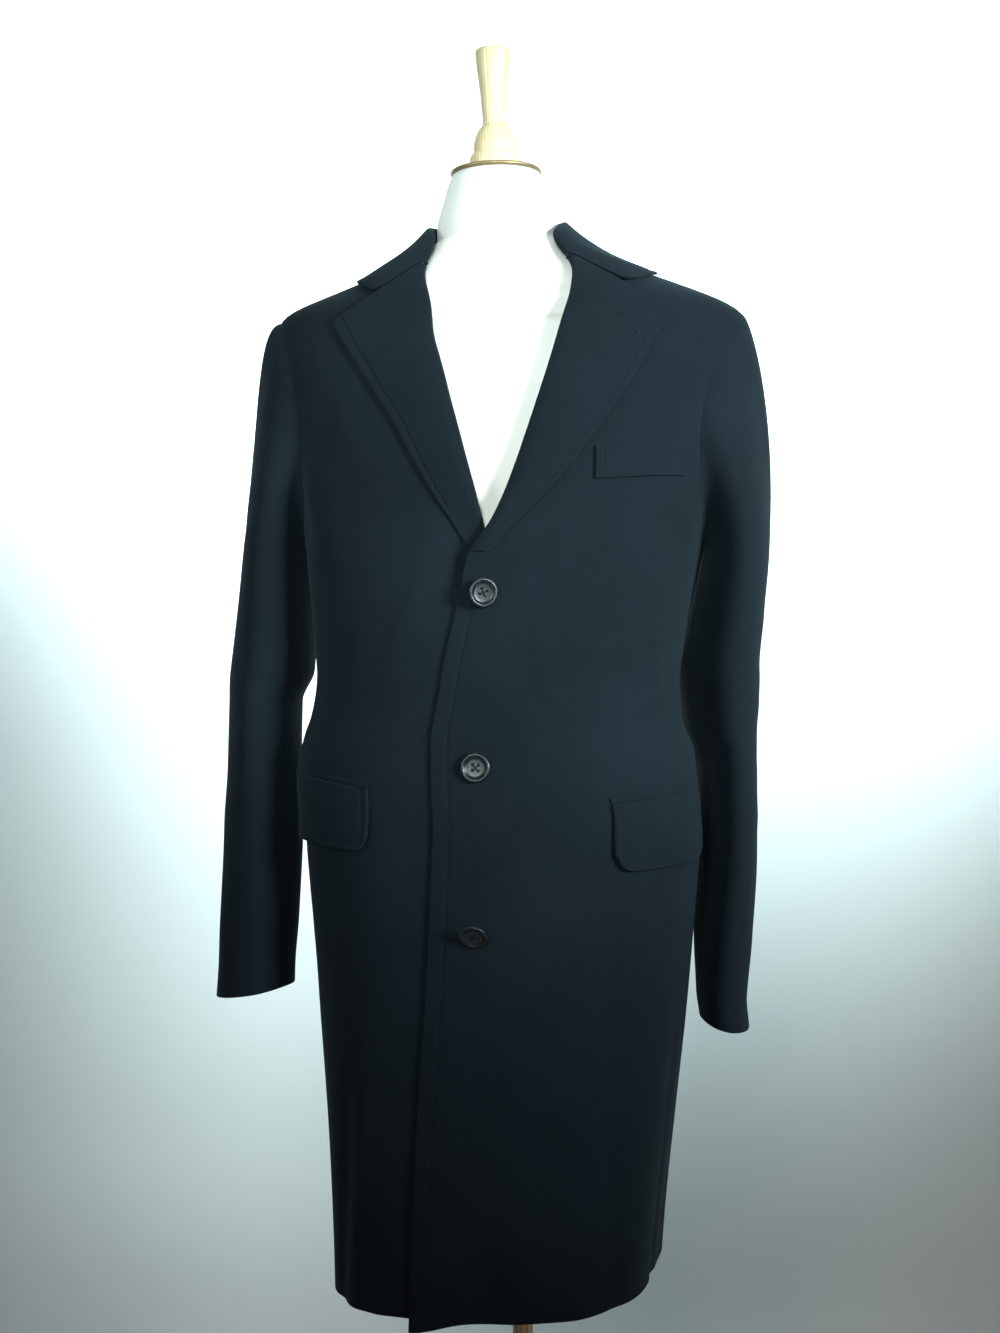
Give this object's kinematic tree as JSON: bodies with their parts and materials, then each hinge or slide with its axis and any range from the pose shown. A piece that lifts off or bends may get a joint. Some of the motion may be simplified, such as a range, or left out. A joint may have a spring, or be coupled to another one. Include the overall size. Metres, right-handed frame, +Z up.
{
  "type": "wool overcoat on a limbless dress form",
  "caption": "Single-breasted wool overcoat with notched lapels, hip flaps and a breast welt, hanging open at the neck on a limbless dress form with a turned finial, a pole and a round foot",
  "frame": {"origin": "on the floor, at the middle of the underside of the form's round foot", "axes": "+Z up, the coat faces -Y, the coat's left side is +X"},
  "size_m": [0.5665, 0.3627, 1.6671],
  "materials": {
    "wool": "brushed dark blue-grey wool cloth",
    "button": "glossy near-black resin",
    "form_cloth": "smooth pale cotton cover",
    "cap_metal": "dull aged brass",
    "pale_wood": "pale turned wood, satin varnish",
    "brown_wood": "brown wood, satin varnish"
  },
  "bodies": {
    "root": {"front_left": "wool", "front_right": "wool", "back_left": "wool", "back_right": "wool", "topsleeve_left": "wool", "topsleeve_right": "wool", "undersleeve_left": "wool", "undersleeve_right": "wool", "lapel_left": "wool", "lapel_right": "wool", "collar": "wool", "breast_welt": "wool", "flap_left": "wool", "flap_right": "wool", "jet_left": "wool", "jet_right": "wool", "button_1": "button", "button_2": "button", "button_3": "button", "form_torso": "form_cloth", "neck_cap": "cap_metal", "finial": "pale_wood", "pole": "brown_wood", "base": "brown_wood"}
  },
  "joints": []
}
